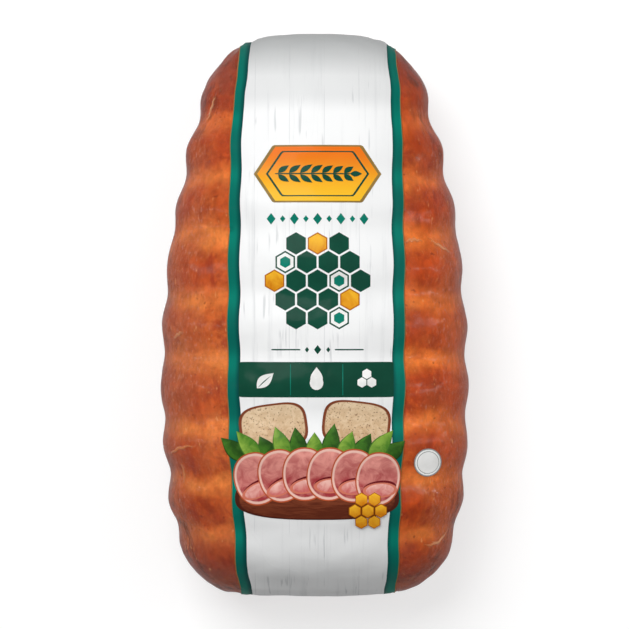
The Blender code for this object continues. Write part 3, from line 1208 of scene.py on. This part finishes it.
def makeServing(honeyInk):
    crumb = makeFoodInk("breadInk", ((0.55, 0.36, 0.20), (0.78, 0.60, 0.40)), (0.20, 0.05, 0.022), 0.9, None,
                        (0.20, 0.10, 0.05), scale=260)
    wood = makeFoodInk("boardInk", ((0.11, 0.022, 0.010), (0.25, 0.062, 0.026)), (0.07, 0.014, 0.008), 0.93,
                       stretch=(0.15, 1, 1), scale=420)
    leafDark = makeFoodInk("leafInkDark", ((0.02, 0.07, 0.01), (0.06, 0.19, 0.02)),
                           (0.014, 0.050, 0.008), 0.86)
    leafLight = makeFoodInk("leafInkLight", ((0.07, 0.20, 0.02), (0.26, 0.42, 0.06)),
                            (0.05, 0.15, 0.02), 0.86)
    slicePink = makeFoodInk("sliceInk", ((0.34, 0.04, 0.046), (0.78, 0.32, 0.27)), (0.46, 0.085, 0.03), 0.93,
                            (0.80, 0.50, 0.42), scale=130)
    foldPink = makeFoodInk("foldInk", ((0.55, 0.13, 0.12), (0.85, 0.50, 0.43)), (0.60, 0.17, 0.11), 0.80)
    foldShade = makeInk("foldShadeInk", (0.15, 0.010, 0.014))
    parts = []
    for centre, turn in board["bread"]:
        parts.append(addBlob(crumb, 0, centre, board["breadHalf"], 3.4, turn))
    middle = (board["leaves"] - 1) / 2
    for number in range(board["leaves"]):
        away = (number - middle) / middle
        foot = (board["leafSpread"] * away, board["leafFoot"])
        look = leafLight if number % 2 else leafDark
        length = 0.0205 + 0.0030 * math.sin(number * 2.3)
        turn = math.radians(90 - 38 * away)
        parts.append(addLeaf(look, 1 + number % 2, foot, length, board["leafHalfWidth"], turn, -0.14 * away))
    parts.append(addBlob(wood, 3, board["boardCentre"], board["boardHalf"], 2.8))
    for number in range(board["slices"]):
        away = (number - (board["slices"] - 1) / 2) / ((board["slices"] - 1) / 2)
        centre = (0.0015 + board["sliceSpread"] * away, board["sliceHeight"] - 0.0030 * away * away)
        turn = math.radians(-14 * away + 6 * math.sin(number * 1.7))
        base = board["firstSliceLayer"] + 3 * number
        parts.append(addBlob(slicePink, base, centre, board["sliceHalf"], 2.2, turn))
        lower = (centre[0] + 0.0010, centre[1] - 0.0052)
        parts.append(addBlob(foldShade, base + 1, lower, (0.0096, 0.0040), 2, turn + 0.25))
        lower = (centre[0] + 0.0010, centre[1] - 0.0068)
        parts.append(addBlob(foldPink, base + 2, lower, (0.0100, 0.0044), 2, turn + 0.20))
    radius = board["combRadius"]
    for row, column, place in combCells(board["comb"], radius, board["combGap"], board["combRows"]):
        parts.append(addHexagon(honeyInk, board["combLayer"], place, radius))
    finishPrint("print_serving_picture", parts)


# Plain white disc with a grey ring, on the clear film beside the band
mark = {"centre": (0.0668, -0.0872), "radius": 0.0084}


def makeMark():
    parts = []
    white = makeInk("markInk", ink["markWhite"], ink["paper"])
    for layer, (look, share) in enumerate(((greyInk, 1.0), (white, 0.92), (greyInk, 0.80), (white, 0.76))):
        radius = mark["radius"] * share
        parts.append(addBlob(look, layer, mark["centre"], (radius, radius)))
    finishPrint("print_round_mark", parts)


print("print")
makePlaque()
makeLozenges()
honeyInk = makeHoneycomb()
makeRule()
makePanel()
makeServing(honeyInk)
makeMark()
bpy.data.objects.remove(printBed)


# Studio: pale floor, soft key from beyond the narrow end, camera straight above

studio = {
    "floorSize": 14.0,
    "floorColour": (0.42, 0.42, 0.42),
    "floorShine": {"roughness": 0.9, "specular": 0.2, "coat": 0.0, "coatRoughness": 0.1},
    "floorGlow": (0.26, 0.64),    # as a light, and as it looks
    "air": (0.18, 0.74),
    "cameraHeight": 1.8,
    "middleHeight": 0.056,    # of the ham, where its outline lies
    "frameWidth": 0.3818,     # metres across the picture at that height
    "sensor": 36.0,
}
lamps = (
    # name, place, size, power
    ("keyLamp", (-0.52, 0.86, 1.90), (1.1, 1.1), 35.2),
    ("fillLamp", (1.00, 0.30, 1.70), (1.8, 1.8), 8.0),
    ("rightStrip", (2.00, 0.10, 0.85), (1.8, 0.06), 4.0),
    ("leftStrip", (-2.00, 0.10, 0.85), (1.8, 0.06), 2.5),
)


# One number for what the floor and the air light, another for how they look
def seenShare(tree, lights, looks):
    rays = tree.nodes.new("ShaderNodeLightPath")
    return addRange(tree, rays.outputs["Is Camera Ray"], 0.0, 1.0, lights, looks)


def makeFloor():
    deselectAll()
    bpy.ops.mesh.primitive_plane_add(size=studio["floorSize"])
    floor = bpy.context.active_object
    floor.name = "studio_floor"
    material, tree, shader = startMaterial("paleFloor", studio["floorShine"])
    shader.inputs["Base Color"].default_value = (*studio["floorColour"], 1.0)
    shader.inputs["Emission Color"].default_value = (1.0, 1.0, 1.0, 1.0)
    tree.links.new(seenShare(tree, *studio["floorGlow"]), shader.inputs["Emission Strength"])
    floor.data.materials.append(material)
    applyPlace(floor)


def addLamp(name, place, size, power):
    deselectAll()
    bpy.ops.object.light_add(type="AREA", location=place)
    lamp = bpy.context.active_object
    lamp.name = name
    lamp.data.shape = "RECTANGLE"
    lamp.data.size, lamp.data.size_y = size
    lamp.data.energy = power
    aim = Vector((0, 0, 0.06)) - Vector(place)
    lamp.rotation_euler = aim.to_track_quat("-Z", "Y").to_euler()
    if abs(aim.x) > 4 * abs(aim.y):
        lamp.rotation_euler.rotate_axis("Z", math.pi / 2)


def makeCamera():
    deselectAll()
    bpy.ops.object.camera_add(location=(0, 0, studio["cameraHeight"]), rotation=(0, 0, 0))
    camera = bpy.context.active_object
    camera.name = "photoCamera"
    camera.data.sensor_width = studio["sensor"]
    distance = studio["cameraHeight"] - studio["middleHeight"]
    camera.data.lens = studio["sensor"] * distance / studio["frameWidth"]
    scene.camera = camera


print("studio")
makeFloor()
for lampRow in lamps:
    addLamp(*lampRow)
makeCamera()
world = bpy.data.worlds.new("studioAir")
scene.world = world
world.use_nodes = True
air = world.node_tree.nodes["Background"]
air.inputs["Color"].default_value = (1.0, 1.0, 1.0, 1.0)
world.node_tree.links.new(seenShare(world.node_tree, *studio["air"]), air.inputs["Strength"])
scene.view_settings.view_transform = "Standard"
